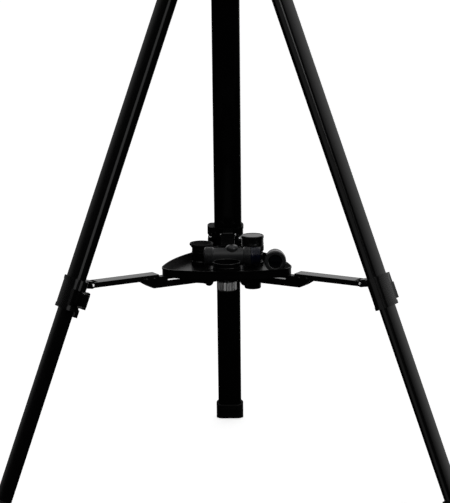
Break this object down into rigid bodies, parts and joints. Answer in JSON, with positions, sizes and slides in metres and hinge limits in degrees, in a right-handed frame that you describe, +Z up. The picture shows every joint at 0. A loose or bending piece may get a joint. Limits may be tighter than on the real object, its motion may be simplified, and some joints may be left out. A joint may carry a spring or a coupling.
{
  "type": "tripod with fluid head",
  "caption": "Three-leg telescope-style tripod with a fluid pan and tilt head, folding spreader and accessory tray holding eyepieces.",
  "frame": {"origin": "on the floor under the centre of the bounding box", "axes": "+Z up along the tripod's axis, pan handle towards -Y, one leg towards +Y"},
  "size_m": [0.894, 0.7776, 1.247],
  "materials": {
    "leg_paint": "satin black paint",
    "black_plastic": "moulded black plastic, satin",
    "grey_paint": "dark grey satin paint",
    "bright_steel": "bright plated steel",
    "aluminium": "bare turned aluminium",
    "rubber": "matt black rubber",
    "mid_grey": "grey enamel",
    "dark_blue": "dark blue satin",
    "level_fluid": "clear green bubble level"
  },
  "bodies": {
    "crown": {"crown": "black_plastic", "head_base": "leg_paint", "leg_bolt_a": "bright_steel", "leg_bolt_b": "bright_steel", "leg_bolt_c": "bright_steel"},
    "head_clamp_knob": {"head_clamp_knob": "black_plastic"},
    "leg_a": {"leg_knuckle_a": "black_plastic", "upper_tube_a": "leg_paint", "collar_a": "black_plastic", "clamp_pin_a": "bright_steel"},
    "lower_leg_a": {"lower_tube_a": "leg_paint", "foot_a": "rubber"},
    "lock_lever_a": {"lock_lever_a": "black_plastic"},
    "arm_a": {"arm_bar_a": "grey_paint", "arm_channel_a": "leg_paint", "arm_rivet_a": "bright_steel", "hinge_pin_a": "bright_steel"},
    "leg_b": {"leg_knuckle_b": "black_plastic", "upper_tube_b": "leg_paint", "collar_b": "black_plastic", "clamp_pin_b": "bright_steel"},
    "lower_leg_b": {"lower_tube_b": "leg_paint", "foot_b": "rubber"},
    "lock_lever_b": {"lock_lever_b": "black_plastic"},
    "arm_b": {"arm_bar_b": "grey_paint", "arm_channel_b": "leg_paint", "arm_rivet_b": "bright_steel", "hinge_pin_b": "bright_steel"},
    "leg_c": {"leg_knuckle_c": "black_plastic", "upper_tube_c": "leg_paint", "collar_c": "black_plastic", "clamp_pin_c": "bright_steel"},
    "lower_leg_c": {"lower_tube_c": "leg_paint", "foot_c": "rubber"},
    "lock_lever_c": {"lock_lever_c": "black_plastic"},
    "arm_c": {"arm_bar_c": "grey_paint", "arm_channel_c": "leg_paint", "arm_rivet_c": "bright_steel", "hinge_pin_c": "bright_steel"},
    "spreader": {"spreader_hub": "black_plastic", "tray": "black_plastic"},
    "tray_knob": {"tray_knob": "aluminium"},
    "capped_eyepiece": {"capped_eyepiece": "black_plastic"},
    "capped_eyepiece_cap": {"capped_eyepiece_cap": "black_plastic"},
    "wide_eyepiece": {"wide_eyepiece": "black_plastic"},
    "storage_cup": {"storage_cup": "black_plastic"},
    "barlow": {"barlow_body": "mid_grey", "barlow_nose": "dark_blue"},
    "lying_eyepiece": {"lying_eyepiece": "black_plastic"},
    "pan": {"pan_body": "leg_paint", "bubble_level": "level_fluid"},
    "pan_lock_knob": {"pan_lock_knob": "black_plastic"},
    "tilt": {"tilt_cradle": "leg_paint"},
    "plate": {"quick_plate": "grey_paint"},
    "camera_screw": {"camera_screw": "bright_steel"},
    "plate_lock_knob": {"plate_lock_knob": "black_plastic"},
    "handle": {"handle_clamp": "black_plastic", "handle_tube": "leg_paint", "handle_grip": "rubber"},
    "handle_clamp_knob": {"handle_clamp_knob": "black_plastic"}
  },
  "joints": [
    {"name": "head_clamp_knob_turn", "type": "hinge", "parent": "crown", "child": "head_clamp_knob", "pos_m": [0, -0.11707, 1.04], "axis": [0, 0, 1], "continuous": true},
    {"name": "leg_a_fold", "type": "hinge", "parent": "crown", "child": "leg_a", "pos_m": [-0.06062, -0.15207, 1.07], "axis": [0.5, -0.866, 0], "range_deg": [0, 7]},
    {"name": "arm_a_fold", "type": "hinge", "parent": "leg_a", "child": "arm_a", "pos_m": [-0.25288, -0.26307, 0.422], "axis": [0.5, -0.866, 0], "range_deg": [0, 44.62]},
    {"name": "lower_leg_a_slide", "type": "slide", "parent": "leg_a", "child": "lower_leg_a", "axis": [-0.3177, -0.1834, -0.9303], "range_m": [-0.355, 0.17]},
    {"name": "lock_lever_a_flip", "type": "hinge", "parent": "leg_a", "child": "lock_lever_a", "pos_m": [-0.25923, -0.30657, 0.39971], "axis": [0.3177, 0.1834, 0.9303], "range_deg": [0, 90]},
    {"name": "leg_b_fold", "type": "hinge", "parent": "crown", "child": "leg_b", "pos_m": [0.06062, -0.15207, 1.07], "axis": [0.5, 0.866, 0], "range_deg": [0, 7]},
    {"name": "arm_b_fold", "type": "hinge", "parent": "leg_b", "child": "arm_b", "pos_m": [0.25288, -0.26307, 0.422], "axis": [0.5, 0.866, 0], "range_deg": [0, 44.62]},
    {"name": "lower_leg_b_slide", "type": "slide", "parent": "leg_b", "child": "lower_leg_b", "axis": [0.3177, -0.1834, -0.9303], "range_m": [-0.355, 0.17]},
    {"name": "lock_lever_b_flip", "type": "hinge", "parent": "leg_b", "child": "lock_lever_b", "pos_m": [0.29373, -0.24682, 0.39971], "axis": [-0.3177, 0.1834, 0.9303], "range_deg": [0, 90]},
    {"name": "leg_c_fold", "type": "hinge", "parent": "crown", "child": "leg_c", "pos_m": [0, -0.04707, 1.07], "axis": [-1, 0, 0], "range_deg": [0, 7]},
    {"name": "arm_c_fold", "type": "hinge", "parent": "leg_c", "child": "arm_c", "pos_m": [0, 0.17493, 0.422], "axis": [-1, 0, 0], "range_deg": [0, 44.62]},
    {"name": "lower_leg_c_slide", "type": "slide", "parent": "leg_c", "child": "lower_leg_c", "axis": [0, 0.3668, -0.9303], "range_m": [-0.355, 0.17]},
    {"name": "lock_lever_c_flip", "type": "hinge", "parent": "leg_c", "child": "lock_lever_c", "pos_m": [-0.0345, 0.20219, 0.39971], "axis": [0, -0.3668, 0.9303], "range_deg": [0, 90]},
    {"name": "spreader_rise", "type": "slide", "parent": "crown", "child": "spreader", "axis": [0, 0, 1], "range_m": [0, 0.18064]},
    {"name": "tray_knob_turn", "type": "hinge", "parent": "spreader", "child": "tray_knob", "pos_m": [0, -0.11707, 0.38], "axis": [0, 0, 1], "continuous": true},
    {"name": "capped_eyepiece_lift", "type": "slide", "parent": "spreader", "child": "capped_eyepiece", "axis": [0, 0, 1], "range_m": [0, 0.08]},
    {"name": "capped_eyepiece_cap_lift", "type": "slide", "parent": "capped_eyepiece", "child": "capped_eyepiece_cap", "axis": [0, 0, 1], "range_m": [0, 0.04]},
    {"name": "wide_eyepiece_lift", "type": "slide", "parent": "spreader", "child": "wide_eyepiece", "axis": [0, 0, 1], "range_m": [0, 0.08]},
    {"name": "storage_cup_lift", "type": "slide", "parent": "spreader", "child": "storage_cup", "axis": [0, 0, 1], "range_m": [0, 0.08]},
    {"name": "barlow_lift", "type": "slide", "parent": "spreader", "child": "barlow", "axis": [0, 0, 1], "range_m": [0, 0.08]},
    {"name": "lying_eyepiece_lift", "type": "slide", "parent": "spreader", "child": "lying_eyepiece", "axis": [0, 0, 1], "range_m": [0, 0.08]},
    {"name": "head_pan", "type": "hinge", "parent": "crown", "child": "pan", "pos_m": [0, -0.11707, 1.13], "axis": [0, 0, 1], "continuous": true},
    {"name": "pan_lock_turn", "type": "hinge", "parent": "pan", "child": "pan_lock_knob", "pos_m": [-0.04, -0.11707, 1.134], "axis": [1, 0, 0], "range_deg": [0, 120]},
    {"name": "head_tilt", "type": "hinge", "parent": "pan", "child": "tilt", "pos_m": [0, -0.11707, 1.19], "axis": [-1, 0, 0], "range_deg": [-30, 75]},
    {"name": "plate_slide", "type": "slide", "parent": "tilt", "child": "plate", "axis": [0, 1, 0], "range_m": [-0.02, 0.02]},
    {"name": "camera_screw_turn", "type": "hinge", "parent": "plate", "child": "camera_screw", "pos_m": [0, -0.11707, 1.235], "axis": [0, 0, 1], "continuous": true},
    {"name": "plate_lock_turn", "type": "hinge", "parent": "tilt", "child": "plate_lock_knob", "pos_m": [0.045, -0.08707, 1.231], "axis": [1, 0, 0], "range_deg": [0, 120]},
    {"name": "handle_angle", "type": "hinge", "parent": "tilt", "child": "handle", "pos_m": [0.0463, -0.11707, 1.19], "axis": [-1, 0, 0], "range_deg": [0, 60]},
    {"name": "handle_clamp_turn", "type": "hinge", "parent": "handle", "child": "handle_clamp_knob", "pos_m": [0.07, -0.11707, 1.19], "axis": [1, 0, 0], "continuous": true}
  ],
  "couplings": [
    {"joint": "arm_a_fold", "follows": "leg_a_fold", "ratio": 6.3723},
    {"joint": "arm_b_fold", "follows": "leg_a_fold", "ratio": 6.3723},
    {"joint": "leg_b_fold", "follows": "leg_a_fold", "ratio": 1},
    {"joint": "arm_c_fold", "follows": "leg_a_fold", "ratio": 6.3723},
    {"joint": "leg_c_fold", "follows": "leg_a_fold", "ratio": 1},
    {"joint": "spreader_rise", "follows": "leg_a_fold", "m_per_rad": 1.4777}
  ]
}
